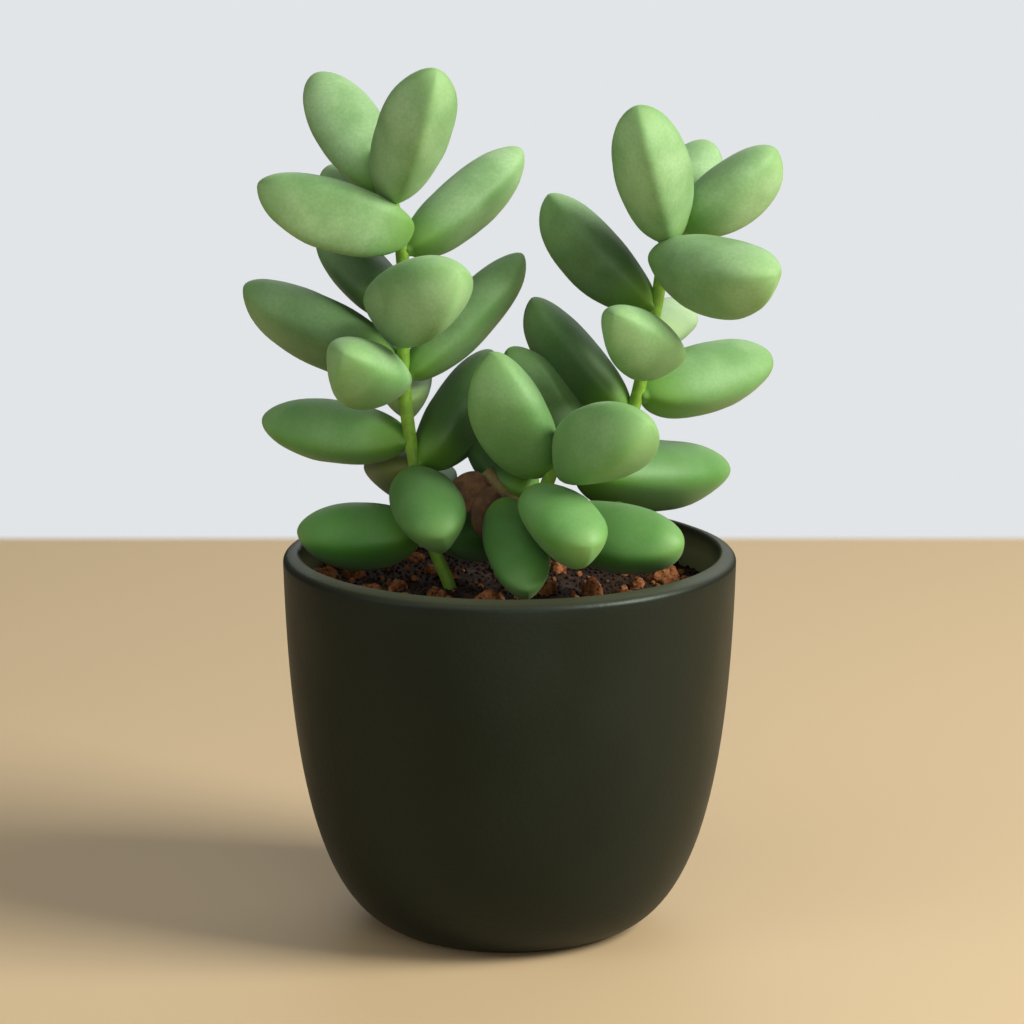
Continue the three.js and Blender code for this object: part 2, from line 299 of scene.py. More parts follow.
def leaf_material(name, skin_colour, deep_colour, wax_colour, base_colour, tip_colour,
                  amount, roughness):
    """A leaf's skin. The amount says how much wax a usual leaf has."""
    material, tree, shader = new_material(
        name, IOR=1.45, Specular_IOR_Level=0.66, Specular_Tint=(0.8, 1.0, 0.7, 1),
        Sheen_Weight=0.1, Sheen_Roughness=0.5, Sheen_Tint=(0.82, 1.0, 0.68, 1),
        Subsurface_Weight=0.1, Subsurface_Scale=0.003, Subsurface_Radius=(0.5, 1.0, 0.2))
    along = attribute_value(tree, "along")
    ridge = attribute_value(tree, "ridge")
    kept = spread(tree, own_height(tree), soil_level, soil_level + wax_reach,
                  wax_at_soil * amount, wax_at_top * amount)
    # The age and the painted shade both weaken towards the tip of a leaf.
    less_at_tip = spread(tree, along, 0.45, 1.0, 1.0, 0.45)
    age_and_shade = sums(tree, "MULTIPLY", attribute_value(tree, "age_and_shade"), less_at_tip)
    wax_after_age_and_shade = sums(tree, "MULTIPLY_ADD", age_and_shade, lost_with_age_and_shade, wax_when_new)
    rubbed = sums(tree, "MULTIPLY_ADD", ridge, rubbed_on_ridge, 1.0)
    wax_wear_and_shade = sums(tree, "MULTIPLY", kept, sums(tree, "MULTIPLY", wax_after_age_and_shade, rubbed))
    # Partly wax lost with age, partly painted shade: the skin is mixed towards the deep green.
    deepened = mix(tree, age_and_shade, skin_colour, deep_colour)
    bloom = place_group(tree, bloom_group, Skin=deepened, Wax=wax_colour, Amount=wax_wear_and_shade)
    near_base = spread(tree, along, 0.32, 0.0, 0.0, 0.75)
    near_tip = spread(tree, along, 0.8, 1.0, 0.0, 0.45)
    at_base = mix(tree, near_base, bloom.outputs["Color"], base_colour)
    at_tip = mix(tree, near_tip, at_base, tip_colour)
    tree.links.new(at_tip, shader.inputs["Base Color"])
    tree.links.new(spread(tree, bloom.outputs["Mask"], 0.0, 1.0,
                          roughness - 0.06, roughness + 0.1), shader.inputs["Roughness"])
    bump(tree, shader, bloom.outputs["Height"], 0.12, 0.12 * MM)
    return material


leaf_skin = leaf_material(
    "leaf skin", skin_colour=colour(50, 120, 2), deep_colour=colour(14, 62, 0),
    wax_colour=colour(156, 188, 138), base_colour=colour(92, 140, 34),
    tip_colour=colour(120, 158, 90), amount=0.49, roughness=0.6)
pale_leaf_skin = leaf_material(
    "pale leaf skin", skin_colour=colour(110, 142, 92), deep_colour=colour(90, 120, 70),
    wax_colour=colour(166, 190, 150), base_colour=colour(120, 150, 80),
    tip_colour=colour(160, 184, 140), amount=0.6, roughness=0.6)
old_leaf_skin = leaf_material(
    "old leaf skin", skin_colour=colour(84, 98, 50), deep_colour=colour(70, 82, 40),
    wax_colour=colour(140, 152, 112), base_colour=colour(98, 104, 44),
    tip_colour=colour(120, 84, 52), amount=0.4, roughness=0.62)

# %% [markdown]
# ## The stems' middle lines
# The plain stems already run in the right curve, so their centre line is measured from the plain
# mesh: every edge that crosses a height gives a point, and the middle of the stem is halfway
# between the furthest of them.

# %% Measure a stem's centre line
def edge_ends(name):
    """The two ends of every edge of a plain node."""
    mesh = nodes[name].data
    points = np.array([v.co for v in mesh.vertices])
    pairs = np.array([tuple(e.vertices) for e in mesh.edges])
    return points[pairs[:, 0]], points[pairs[:, 1]]


def middle_at(ends, height):
    """The middle of a plain stem at a height."""
    low, high = ends
    crosses = (low[:, 2] - height) * (high[:, 2] - height) < 0
    a, b = low[crosses], high[crosses]
    share = ((height - a[:, 2]) / (b[:, 2] - a[:, 2]))[:, None]
    hits = a + (b - a) * share
    return Vector((hits.max(axis=0) + hits.min(axis=0)) / 2)


# %% [markdown]
# ## What grows where
# These are the same sizes as the plain model's: for each leaf its height on the stem in
# millimetres, its turn seen from above and its rise above level in degrees, its roll, its length
# and girth as shares of a usual leaf, how far its base sits across the stem, and where it begins.
# One row is one leaf.

# %% The leaves of each shoot
usual_length, usual_width, usual_depth = 32 * MM, 15.5 * MM, 14.5 * MM
usual_start = 1.75
leaves = {
    "left": [
        (89, 130, 42, -5, 1.04, 1.02, 0, usual_start),
        (87, -61, 54, -42, 1.14, 1.05, -1, usual_start),
        (81, -166, 19, 28, 1.12, 1.08, 5.5, -2),
        (75.5, 38, 31, 4, 1.14, 0.93, 0, usual_start),
        (78.5, 124, 22, 0, 0.93, 0.85, 0, usual_start),
        (62, 127, 25, -7, 1.0, 0.88, 0, usual_start),
        (62.5, -53, 24, -16, 0.98, 1.26, -7, 1),
        (50.5, 159, 22, -13, 1.22, 1.07, 0, usual_start),
        (47.5, 32, 39, 11, 1.18, 0.84, 0, usual_start),
        (47, -112, 20, -27, 0.92, 1.06, -0.5, 3.5),
        (34, 156, 3, -29, 1.08, 0.99, 0, usual_start),
        (42, 91, 6, 0, 0.86, 0.76, 0, usual_start),
        (28, -72, -21, 5, 0.82, 1.0, -1.5, usual_start),
        (27.5, 41, 47, -10, 0.96, 1.03, 0, usual_start),
        (28, 108, -10, 0, 0.84, 0.82, 0, usual_start),
        (19, 80, 8, 0, 0.68, 0.6, 0, 3.5),
        (14.3, 172, -3, -20, 0.86, 1.06, 0, usual_start),
    ],
    "right": [
        (77, -116, 61, 40, 1.09, 1.08, 1.2, usual_start),
        (77, 68, 36, 0, 0.94, 0.9, 0, usual_start),
        (79.3, 0, 37, 4, 0.84, 1.02, 0, 3),
        (74.5, -45, -1, 9, 1.09, 1.23, -4, 1.2),
        (62, 161, 44, 11, 1.03, 1.0, 0, usual_start),
        (53, -120, 27, -3, 0.94, 0.99, 7, 0.6),
        (56, 74, 3, 12, 0.91, 0.75, 0, usual_start),
        (38, 153, 45, 8, 1.03, 0.93, 0, usual_start),
        (43, 33, 8, 17, 1.08, 1.12, 0, usual_start),
        (25.4, 38, -7, 5, 1.34, 1.16, 2.5, -8),
        (22, 180, 53, -4, 1.2, 0.98, 0, 0.5),
    ],
    "middle": [
        (27, -147, 62, 32, 0.99, 1.15, -4.4, 0),
        (33.2, -54, 22, -30, 1.0, 1.19, 1, usual_start),
        (26.5, -65, -13, 15, 0.91, 1.03, -5, 4),
        (20, -79, -26, 9, 0.98, 0.87, -6.5, -3.5),
        (17.6, -22, -4, 6, 1.04, 1.1, 0, usual_start),
        (22, 122, 24, 0, 0.78, 0.8, 0, 4),
        (18, 138, -12, -4, 0.92, 1.0, 0, 2.6),
    ],
}
# Age and painted shade of each leaf: partly wax lost with age, partly painted shade on leaves that
# sit in the shadow of others.
usual_age_and_shade = 0.35
ages_and_shade = {
    "left_leaf_06": 1.0, "left_leaf_07": 0.45, "left_leaf_08": 0.75, "left_leaf_10": 0.0,
    "left_leaf_11": 0.05, "left_leaf_13": 0.5, "left_leaf_14": 1.0, "left_leaf_17": 0.15,
    "right_leaf_04": 0.6, "right_leaf_05": 1.0, "right_leaf_08": 1.0, "right_leaf_09": 0.25,
    "right_leaf_10": 0.5, "right_leaf_11": 0.85,
    "middle_leaf_02": 0.2, "middle_leaf_03": 0.0, "middle_leaf_04": 0.65, "middle_leaf_05": 0.4,
    "middle_leaf_06": 1.0, "middle_leaf_07": 0.6,
}
old_leaves = {"left_leaf_12", "left_leaf_15"}
leaf_finishes = {"left_leaf_12": pale_leaf_skin, "left_leaf_15": old_leaf_skin,
                 "right_leaf_07": pale_leaf_skin}
print("leaves:", sum(len(rows) for rows in leaves.values()))

# %% [markdown]
# ## A leaf
# The real leaf is boat-shaped: a gently domed upper face, two soft margins and a keel below. The
# section is a superellipse, whose powers decide how sharp the keel and the margins are. The leaf
# could be sculpted or subdivided from a box, but a formula keeps each leaf close to its plain
# solid and costs no time. A leaf that sits across its stem clasps it, so it starts narrower.

# %% The leaf's outline and section
widest = 0.5
upper_share = 0.34
keel_sharpness = 1.2
smoothing_passes = 8
around = 40
lengthwise = 30
usual_taper, clasping_taper = 0.95, 0.99
clasps_from = 3


def fullness(s, taper=usual_taper):
    """How wide the leaf is at a share of its length, as a share of its full width."""
    if s < widest:
        return math.sqrt(1 - (taper * (widest - s) / widest) ** 2)
    return max(1 - ((s - widest) / (1 - widest)) ** 2.35, 0) ** 0.57


def power_of(v, power):
    """A power that keeps the sign of its value."""
    return math.copysign(abs(v) ** power, v)


def section(sharpness):
    """The points of a leaf's section, 1 from the middle to a margin and 1 from face to keel."""
    ring = []
    for k in range(around):
        angle = 2 * math.pi * k / around
        across, up = math.cos(angle), math.sin(angle)
        if up >= 0:
            ring.append(Vector((power_of(across, 1.05), upper_share * power_of(up, 1.15))))
        else:
            ring.append(Vector((power_of(across, 1.0 + 0.5 * sharpness),
                                (1 - upper_share) * power_of(up, 1.0 + 0.35 * sharpness))))
    for _ in range(smoothing_passes):
        ring = [ring[k] * 0.5 + (ring[k - 1] + ring[(k + 1) % around]) * 0.25
                for k in range(around)]
    wide = max(p.x for p in ring)
    deep = max(p.y for p in ring) - min(p.y for p in ring)
    return [(p.x / wide, p.y / deep) for p in ring]


# %% The leaf's frame on its stem
def leaf_frame(middle, stem_way, turn, rise, roll, side, start):
    """X along the leaf, Y across it, Z to its upper face, which looks up its stem."""
    turn, rise = math.radians(turn), math.radians(rise)
    along = Vector((math.cos(rise) * math.cos(turn), math.cos(rise) * math.sin(turn),
                    math.sin(rise)))
    across = stem_way.cross(along).normalized()
    upper = along.cross(across)
    axes = Matrix((along, across, upper)).transposed()
    root = middle + (along * start + across * side) * MM
    rolled = Matrix.Rotation(math.radians(roll), 3, along) @ axes
    return Matrix.Translation(root) @ rolled.to_4x4()


# %% The leaf's mesh
broad_swell, broad_size = 0.3, 9 * MM
fine_swell, fine_size = 0.07, 4 * MM
ridge_narrowness = 14
neck_shares = (0.85, 0.5, 0.2)


def leaf_mesh(name, place, length, width, depth, stem_middle, seed,
              age_and_shade=usual_age_and_shade, taper=usual_taper):
    """One leaf with slow unevenness of its own, and a short neck that bends into the stem."""
    drift = Vector((seed * 3.1, seed * 1.7, seed * 0.9))
    outline = section(keel_sharpness)
    back = place.inverted() @ stem_middle
    rings, along, ridge = [], [], []
    stations = [(back * t, 0, fullness(0, taper) * (0.95 - 0.35 * t)) for t in neck_shares]
    for r in range(lengthwise + 1):
        s = 0.5 - 0.5 * math.cos(math.pi * r / (lengthwise + 0.5))
        stations.append((Vector((s * length, 0, 0)), s, fullness(s, taper)))
    for middle, s, share in stations:
        ring = []
        for k, (y, z) in enumerate(outline):
            local = Vector((0, y * share * width / 2, z * share * depth))
            out = local.normalized()
            spot = middle + local
            swell = (noise.noise(spot / broad_size + drift) * broad_swell
                     + noise.noise(spot / fine_size - drift) * fine_swell) * MM
            ring.append(place @ (spot + out * swell * min(share * 1.4, 1)))
            along.append(s)
            angle = 2 * math.pi * k / around
            ridge.append(max(abs(math.cos(angle)) ** ridge_narrowness,
                             abs(min(math.sin(angle), 0)) ** ridge_narrowness))
        rings.append(ring)
    tip = place @ Vector((length, 0, 0))
    # Each point carries its leaf's age and painted shade for the material.
    marks = {"along": along + [0, 1], "ridge": ridge + [0, 0], "age_and_shade": [age_and_shade] * (len(along) + 2)}
    return skin(name, rings, place @ back, tip, marks)


# %% Find the places on the stems
stem_ends = {shoot: edge_ends(shoot + "_stem") for shoot in leaves}
stem_tops = {shoot: max(v.co.z for v in nodes[shoot + "_stem"].data.vertices)
             for shoot in leaves}


def stem_place(shoot, height):
    """The middle of a shoot's stem and its direction at a height in mm above the soil."""
    top = stem_tops[shoot] - 1.2 * MM
    z = soil_level + height * MM
    level = min(z, top)
    low = middle_at(stem_ends[shoot], level - 1.5 * MM)
    high = middle_at(stem_ends[shoot], level)
    way = (high - low).normalized()
    return high + way * ((min(z, stem_tops[shoot]) - level) / way.z), way


# %% Grow the leaves
worst = 0
for shoot, rows in leaves.items():
    for number, (height, turn, rise, roll, size, girth, side, start) in enumerate(rows, 1):
        name = f"{shoot}_leaf_{number:02d}"
        middle, way = stem_place(shoot, height)
        mesh = leaf_mesh(
            name + "_fine", leaf_frame(middle, way, turn, rise, roll, side, start),
            usual_length * size, usual_width * girth, usual_depth * girth, middle,
            seed=number + len(shoot) * 20, age_and_shade=ages_and_shade.get(name, usual_age_and_shade),
            taper=clasping_taper if abs(side) > clasps_from else usual_taper)
        finish_piece(mesh, leaf_finishes.get(name, leaf_skin),
                     "old_leaf" if name in old_leaves else "leaf", name)
        low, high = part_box(name)
        points = np.array([v.co for v in mesh.vertices])
        worst = max(worst, max(low[k] - points[:, k].min() for k in range(3)),
                    max(points[:, k].max() - high[k] for k in range(3)))
print("a leaf stands at most", round(worst / MM, 2), "mm outside its plain node")

# %% [markdown]
# ## Growing things with Geometry Nodes
# Stems follow a path and grit repeats over a surface, so both are grown by node trees. Each tree
# has named inputs for its sizes, and the grown result is turned into a plain mesh before anything
# else uses it.

# %% Helpers for geometry trees
def new_tree(name, inputs):
    """A geometry tree with its named inputs, and one geometry in and out."""
    tree = bpy.data.node_groups.new(name, "GeometryNodeTree")
    tree.interface.new_socket("Geometry", in_out="INPUT", socket_type="NodeSocketGeometry")
    for title, kind, default in inputs:
        socket = tree.interface.new_socket(title, in_out="INPUT", socket_type=kind)
        if default is not None:
            socket.default_value = default
    tree.interface.new_socket("Geometry", in_out="OUTPUT", socket_type="NodeSocketGeometry")
    return tree, node(tree, "NodeGroupInput").outputs, node(tree, "NodeGroupOutput")


def grow(name, tree, source_mesh, **values):
    """Runs a geometry tree on a mesh and returns the plain mesh that it makes."""
    source = bpy.data.objects.new(name + "_source", source_mesh)
    bpy.context.collection.objects.link(source)
    modifier = source.modifiers.new("grow", "NODES")
    modifier.node_group = tree
    for item in tree.interface.items_tree:
        key = item.name.replace(" ", "_")
        if item.item_type == "SOCKET" and item.in_out == "INPUT" and key in values:
            modifier[item.identifier] = values[key]
    evaluated = source.evaluated_get(bpy.context.evaluated_depsgraph_get())
    made = bpy.data.meshes.new_from_object(evaluated)
    made.name = name
    source.modifiers.clear()
    bpy.data.objects.remove(source)
    return made


# %% [markdown]
# ### Stems
# A stem is thickest at the soil, has a faint swelling where each pair of leaves leaves it, and a
# skin with long shallow furrows. The tree sweeps a circle along the measured centre line, with a
# radius that each point of the line carries, and a slow noise pushes the surface in and out.

# %% The stem tree
stem_tree, stem_in, stem_end = new_tree("grow stem", [
    ("Thickness", "NodeSocketFloat", 1.45 * MM), ("Sides", "NodeSocketInt", 20),
    ("Furrow", "NodeSocketFloat", 0.12 * MM), ("Finish", "NodeSocketMaterial", None)])
line = node(stem_tree, "GeometryNodeMeshToCurve", inputs={"Mesh": stem_in["Geometry"]})
thick = node(stem_tree, "GeometryNodeInputNamedAttribute", data_type="FLOAT",
             inputs={"Name": "thick"})
sized = node(stem_tree, "GeometryNodeSetCurveRadius", inputs={
    "Curve": line.outputs["Curve"], "Radius": thick.outputs["Attribute"]})
circle = node(stem_tree, "GeometryNodeCurvePrimitiveCircle", inputs={
    "Resolution": stem_in["Sides"], "Radius": stem_in["Thickness"]})
swept = node(stem_tree, "GeometryNodeCurveToMesh", inputs={
    "Curve": sized.outputs["Curve"], "Profile Curve": circle.outputs["Curve"],
    "Fill Caps": True})
rough = node(stem_tree, "ShaderNodeTexNoise", inputs={"Scale": 420.0, "Detail": 2.0})
inout = node(stem_tree, "ShaderNodeMath", operation="MULTIPLY_ADD", inputs={
    0: rough.outputs["Fac"], 1: stem_in["Furrow"], 2: -0.06 * MM})
normal = node(stem_tree, "GeometryNodeInputNormal")
push = node(stem_tree, "ShaderNodeVectorMath", operation="SCALE", inputs={
    0: normal.outputs["Normal"], "Scale": inout.outputs[0]})
moved = node(stem_tree, "GeometryNodeSetPosition", inputs={
    "Geometry": swept.outputs["Mesh"], "Offset": push.outputs["Vector"]})
real = node(stem_tree, "GeometryNodeRealizeInstances", inputs={
    "Geometry": moved.outputs["Geometry"]})
dressed = node(stem_tree, "GeometryNodeSetMaterial", inputs={
    "Geometry": real.outputs["Geometry"], "Material": stem_in["Finish"]})
stem_tree.links.new(dressed.outputs["Geometry"], stem_end.inputs["Geometry"])


def line_mesh(points, thicknesses):
    """A chain of edges whose points carry a thickness, for the stem tree to sweep along."""
    mesh = bpy.data.meshes.new("line")
    mesh.from_pydata([tuple(p) for p in points],
                     [(k, k + 1) for k in range(len(points) - 1)], [])
    mesh.attributes.new("thick", "FLOAT", "POINT").data.foreach_set("value", thicknesses)
    return mesh


# %% Stem and twig skins
def stem_material(name, young, old, furrow_colour, roughness):
    """A stem's skin, from its old colour at the soil to its young one above, with painted shade in
    its furrows.
    """
    material, tree, shader = new_material(name, IOR=1.45, Sheen_Weight=0.08,
                                          Subsurface_Weight=0.08, Subsurface_Scale=0.002)
    above_soil = spread(tree, own_height(tree), soil_level + 2 * MM, soil_level + 22 * MM)
    aged = mix(tree, above_soil, old, young)
    grain = place_group(tree, grain_group, Scale=500.0, Coarse=0.6)
    # Painted shade: the furrows, the low parts of the bump, are mixed towards the furrow colour.
    furrows = spread(tree, grain.outputs["Value"], 0.62, 0.4, 0.0, 0.5)
    tree.links.new(mix(tree, furrows, aged, furrow_colour), shader.inputs["Base Color"])
    tree.links.new(spread(tree, grain.outputs["Value"], 0.3, 0.7,
                          roughness - 0.08, roughness + 0.1), shader.inputs["Roughness"])
    bump(tree, shader, grain.outputs["Value"], 0.3, 0.3 * MM)
    return material


stem_skin = stem_material("stem skin", colour(116, 164, 40), colour(100, 142, 36),
                          colour(90, 122, 34), 0.5)
dry_bark = stem_material("dry bark", colour(116, 104, 62), colour(104, 84, 54),
                         colour(70, 50, 30), 0.8)
dry_paper = stem_material("dry paper", colour(112, 80, 50), colour(80, 52, 32),
                          colour(34, 20, 12), 0.8)

# %% Grow the stems
stem_points = 90
stem_buried, stem_short = 9 * MM, 0.4 * MM
joint_swelling, joint_reach = 0.16, 1.6 * MM
foot_flare, flare_reach = 0.22, 5 * MM
for shoot, rows in leaves.items():
    heights = np.linspace(-stem_buried, stem_tops[shoot] - soil_level - stem_short, stem_points)
    centre, thick_here = [], []
    joints = [row[0] * MM for row in rows]
    for h in heights:
        if h < 1 * MM:
            foot, way = stem_place(shoot, 1)
            centre.append(foot + way * ((h - 1 * MM) / way.z))
        else:
            centre.append(stem_place(shoot, h / MM)[0])
        swell = sum(math.exp(-((h - j) / joint_reach) ** 2) for j in joints)
        flare = foot_flare * math.exp(-max(h, 0) / flare_reach)
        thick_here.append(0.98 + joint_swelling * min(swell, 1.3) + flare)
    smooth = []
    for k in range(stem_points):
        near = (centre[min(max(k + d, 0), stem_points - 1)] for d in (-2, -1, 0, 1, 2))
        smooth.append(sum(near, Vector()) / 5)
    mesh = grow(shoot + "_stem_fine", stem_tree, line_mesh(smooth, thick_here),
                Finish=stem_skin)
    finish_piece(face_outwards(mesh), stem_skin, "stem", shoot + "_stem")

# %% [markdown]
# ### The buds and the withered twig
# At a shoot's tip the newest two leaves are still pressed together, face to face. The twig is a
# small side branch that died back, so it is dry, slender and brown, with two curled leaves left on
# it.

# %% Closed buds
bud_length, bud_girth = 7 * MM, 3.6 * MM
bud_gap = 0.62 * MM
bud_seed = 50


def bud_mesh(name, place, stem_middle):
    """Two small leaves in one mesh, face to face."""
    halves = []
    for half, turn in enumerate((0, math.pi)):
        about = Matrix.Rotation(turn, 4, "X") @ Matrix.Translation((0, 0, -bud_gap))
        halves.append(leaf_mesh(name, place @ about, bud_length, bud_girth, bud_girth * 0.52,
                                stem_middle, bud_seed + half))
    bm = bmesh.new()
    for mesh in halves:
        bm.from_mesh(mesh)
    bm.to_mesh(halves[0])
    bm.free()
    shade_smooth(halves[0])
    return halves[0]


for shoot, height, turn, rise, start in (("left", 87.9, 150, 84, 4), ("right", 79.9, 40, 80, 3.5)):
    middle, way = stem_place(shoot, height)
    place = leaf_frame(middle, way, turn, rise, 0, 0, start)
    finish_piece(bud_mesh(shoot + "_bud_fine", place, middle), leaf_skin, "leaf",
                 shoot + "_bud_01")


# %% The withered twig
twig_points = [Vector(p) * MM + Vector((0, 0, soil_level)) for p in
               ((3.4, -10.5, 20.5), (0.5, -8.5, 22.5), (-2.5, -7, 25), (-5, -6, 28))]
twig_steps = 30
wander_reach, wander_size = 0.25 * MM, 4 * MM
wander_shifts = (Vector((0, 0, 0)), Vector((5, 2, 9)), Vector((8, 7, 3)))
twig_line, twig_thick = [], []
for k in range(twig_steps + 1):
    s = k / 10 if k < twig_steps else 2.9999
    a, b = twig_points[int(s)], twig_points[int(s) + 1]
    point = a.lerp(b, s - int(s))
    wander = Vector([noise.noise(point / wander_size + shift) for shift in wander_shifts])
    twig_line.append(point + wander * wander_reach)
    twig_thick.append(0.9 - 0.1 * k / twig_steps + 0.14 * noise.noise(Vector((k * 0.6, 2, 0))))
mesh = grow("withered_twig_fine", stem_tree, line_mesh(twig_line, twig_thick),
            Thickness=1.25 * MM, Sides=14, Furrow=0.5 * MM, Finish=dry_bark)
finish_piece(face_outwards(mesh), dry_bark, "dry_leaf", "withered_twig")

# %% The dry leaves
dry_length, dry_width, dry_thickness = 10 * MM, 8 * MM, 1.6 * MM
dry_rings, dry_around = 19, 24


def dry_leaf_mesh(name, place, length, seed):
    """A slim curled scale: its margins roll up and its tip bends over."""
    rings = []
    for r in range(dry_rings):
        s = 0.5 - 0.5 * math.cos(math.pi * (r + 0.4) / (dry_rings - 0.2))
        half = fullness(s) * dry_width / 2
        ring = []
        for k in range(dry_around):
            angle = 2 * math.pi * k / dry_around
            y = half * math.cos(angle)
            crumple = noise.noise(Vector((s * 4, y / (2 * MM), seed))) * 0.25 * MM
            curl = 0.9 * MM * (y / (dry_width / 2)) ** 2 - 1.0 * MM * s * s + crumple
            z = dry_thickness * 0.22 * math.sin(angle) * (0.4 + fullness(s)) + curl
            ring.append(place @ Vector((s * length, y, z)))
        rings.append(ring)
    ends = [sum((Vector(p) for p in ring), Vector()) / dry_around
            for ring in (rings[0], rings[-1])]
    return skin(name, rings, *ends)


dry_leaves = ((27.4, 205, -40, 75, 1), (25.5, 240, -66, 60, 1.2))
for number, (height, turn, rise, roll, size) in enumerate(dry_leaves, 1):
    level = next(p for p in twig_line if p.z >= soil_level + height * MM)
    way = (twig_points[-1] - twig_points[0]).normalized()
    place = leaf_frame(level, way, turn, rise, roll, 0, 1.2)
    mesh = dry_leaf_mesh(f"withered_dry_{number:02d}_fine", place, dry_length * size, number)
    finish_piece(mesh, dry_paper, "dry_leaf", f"withered_dry_{number:02d}")

# %% [markdown]
# ## The pot
# The pot is turned, so its shape is a profile spun round the middle: a flat foot, a full belly, a
# side that rises almost straight, and a lip that slopes down to the outside with both its edges
# rounded.

# %% The pot's profile
rim_radius, pot_height, wall, floor_thick = 50 * MM, 85 * MM, 3.8 * MM, 5 * MM
foot_radius, belly_radius, upper_radius, upper_height = 25.5 * MM, 44.5 * MM, 49 * MM, 43 * MM
lip_fall, lip_round, inner_round = 0.7 * MM, 1.6 * MM, 1.0 * MM
under_lip = 2.6 * MM


def pot_side(inset, lift, count):
    """Points up the side, from the foot to under the lip, moved in and up by a wall."""
    a = Vector((foot_radius - inset / 2, lift))
    b = Vector((belly_radius - inset, lift + floor_thick))
    c = Vector((upper_radius - inset, upper_height))
    d = Vector((rim_radius - inset, pot_height - lip_fall - lip_round))
    row = []
    for k in range(count + 1):
        t = k / count
        row.append(a * (1 - t) ** 3 + b * 3 * t * (1 - t) ** 2
                   + c * 3 * t * t * (1 - t) + d * t ** 3)
    return row


def arc(centre, radius, start, end, count):
    """Points along part of a circle, between two angles in degrees."""
    return [centre + Vector((math.cos(a), math.sin(a))) * radius
            for a in np.radians(np.linspace(start, end, count))]


lip_out = arc(Vector((rim_radius - lip_round, pot_height - lip_fall - lip_round)),
              lip_round, 12, 82, 7)
lip_in = arc(Vector((rim_radius - wall + inner_round, pot_height - inner_round)),
             inner_round, 98, 180, 6)
foot = [Vector((8 * MM, 0)), Vector((18 * MM, 0)), Vector((24.4 * MM, 0)),
        Vector((25.1 * MM, 0.08 * MM))]
outside = foot + pot_side(0, 0, 48)[1:]
inside = [p for p in pot_side(wall, floor_thick, 40) if p.y < pot_height - under_lip][::-1]
profile = outside + lip_out + lip_in + inside

# %% Turn the pot
turns = 144
rings = [[(p.x * math.cos(a), p.x * math.sin(a), p.y)
          for a in np.linspace(0, 2 * math.pi, turns, False)] for p in profile]
# How much paler the glaze is: a little on the lip, partly thinner glaze and partly a painted
# reflection, and much more inside, which is painted bounce light.
thin_glaze_and_painted_light = ([0] * len(outside) + list(np.linspace(0, 0.12, len(lip_out)))
        + [0.15] * len(lip_in) + [1] * len(inside))
pot_mesh = skin("pot_fine", rings, (0, 0, 0), (0, 0, floor_thick),
                {"thin_glaze_and_painted_light": [share for share in thin_glaze_and_painted_light for _ in range(turns)] + [0, 1]})

# %% [markdown]
# The glaze is a matt charcoal with an olive cast. It is not perfectly even: the roughness drifts,
# and a very fine grain breaks up the highlight along the lip. It is a little paler on the lip,
# partly as thinner glaze and partly as a painted reflection of the light from above, and much
# paler inside, which is painted bounce light that lifts the shade within the pot. The value
# **thin_glaze_and_painted_light**, which each point of the profile carries, says how much paler
# it is.

# %% The charcoal glaze
glaze, tree, shader = new_material("charcoal glaze", IOR=1.45, Specular_IOR_Level=0.36,
                                   Specular_Tint=(0.78, 0.94, 0.82, 1))
grain = place_group(tree, grain_group, Scale=900.0, Coarse=0.55)
drift = place_group(tree, grain_group, Scale=45.0, Coarse=0.4)
tone = mix(tree, spread(tree, drift.outputs["Value"], 0.3, 0.7),
           colour(10, 16, 8), colour(15, 20, 11))
tone = mix(tree, spread(tree, grain.outputs["Speck"], 0.2, 1.0, 0.0, 0.3), tone,
           colour(36, 41, 30))
# Painted bounce light inside the pot and a partly painted reflection on the lip: the glaze is mixed
# towards a pale olive grey.
tone = mix(tree, attribute_value(tree, "thin_glaze_and_painted_light"), tone, colour(138, 138, 106))
tree.links.new(tone, shader.inputs["Base Color"])
tree.links.new(spread(tree, drift.outputs["Value"], 0.3, 0.7, 0.42, 0.5),
               shader.inputs["Roughness"])
bump(tree, shader, grain.outputs["Value"], 0.3, 0.2 * MM)
finish_piece(pot_mesh, glaze, "pot", "pot")

# %% [markdown]
# ## The soil
# The soil is a dark, uneven bed with crumbs of three sizes on it: lumps of baked clay as big as
# peas, crumbs, and grains. A point is scattered where each one lies, a rough ball is put on each
# point, and after they are made real one noise deforms them all, so that no two are alike.

# %% The bed
soil_radius, soil_depth, soil_crown = 45.2 * MM, 9 * MM, 1.2 * MM
bed_count = 96


def bed_height(x, y):
    """The height of the soil, a shallow dome with two sizes of unevenness."""
    share = math.hypot(x, y) / soil_radius
    p = Vector((x, y, 0))
    return (soil_level + soil_crown * (1 - share * share)
            + noise.noise(p / (11 * MM)) * 1.0 * MM
            + noise.noise(p / (4 * MM) + Vector((5, 5, 5))) * 0.6 * MM)


def bed_ring(radius):
    """Points on the soil at one distance from the middle."""
    return [(radius * math.cos(a), radius * math.sin(a),
             bed_height(radius * math.cos(a), radius * math.sin(a)))
            for a in np.linspace(0, 2 * math.pi, bed_count, False)]


bed_rings = [bed_ring(soil_radius * share) for share in np.linspace(1, 0.03, 40)]
base_ring = [(x * 0.985, y * 0.985, soil_level - soil_depth) for x, y, z in bed_rings[0]]
bed_mesh = skin("soil_fine", [base_ring, *bed_rings], (0, 0, soil_level - soil_depth),
                (0, 0, bed_height(0, 0)))
top_mesh = bpy.data.meshes.new("soil_top")
top_mesh.from_pydata([p for ring in bed_rings for p in ring], [],
                     grid_faces(len(bed_rings), bed_count))


